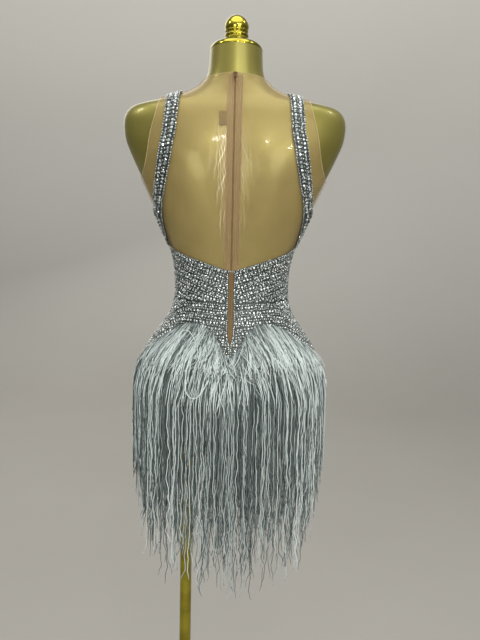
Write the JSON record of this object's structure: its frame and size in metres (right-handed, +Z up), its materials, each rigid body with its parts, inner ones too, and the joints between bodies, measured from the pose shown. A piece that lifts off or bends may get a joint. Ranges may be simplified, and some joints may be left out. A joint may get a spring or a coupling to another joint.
{
  "type": "fringed glitter bodysuit on a dress form with stand",
  "caption": "Sleeveless stretch bodysuit with sheer back, crystal-set panels and a deep fringe skirt, shown on a limbless dress form on a pole stand.",
  "frame": {"origin": "on the floor, under the middle of the stand's round base and of the form", "axes": "+Z up; the garment's front faces -Y and its back +Y; +X is the wearer's left"},
  "size_m": [0.391, 0.3, 1.6124],
  "materials": {
    "form": "gloss",
    "gold_metal": "polished",
    "nude_mesh": "matte",
    "glitter_cloth": "gloss",
    "brief_cloth": "satin",
    "nude_tape": "matte",
    "fringe_yarn": "satin",
    "zip_metal": "satin"
  },
  "bodies": {
    "root": {"form_torso": "form", "neck_cap": "gold_metal", "neck_knob": "gold_metal", "stand_pole": "gold_metal", "stand_collar": "gold_metal", "stand_socket": "gold_metal", "stand_base": "gold_metal", "mesh_back_left": "nude_mesh", "mesh_back_right": "nude_mesh", "mesh_front": "nude_mesh", "glitter_back_left": "glitter_cloth", "glitter_back_right": "glitter_cloth", "glitter_front": "glitter_cloth", "strap_left": "glitter_cloth", "strap_right": "glitter_cloth", "brief_back": "brief_cloth", "brief_front": "brief_cloth", "gusset": "brief_cloth", "zip_tape_left": "nude_tape", "zip_tape_right": "nude_tape", "label": "nude_tape", "zip_slider": "zip_metal", "fringe_upper_back_left": "fringe_yarn", "fringe_upper_back_right": "fringe_yarn", "fringe_upper_front_left": "fringe_yarn", "fringe_upper_front_right": "fringe_yarn", "fringe_lower_back_left": "fringe_yarn", "fringe_lower_back_right": "fringe_yarn", "fringe_lower_front_left": "fringe_yarn", "fringe_lower_front_right": "fringe_yarn"},
    "zip_pull": {"zip_pull": "zip_metal"}
  },
  "joints": [
    {"name": "zip_pull_swing", "type": "hinge", "parent": "root", "child": "zip_pull", "pos_m": [0, 0.05748, 1.50716], "axis": [1, 0, 0], "range_deg": [0, 150]}
  ]
}
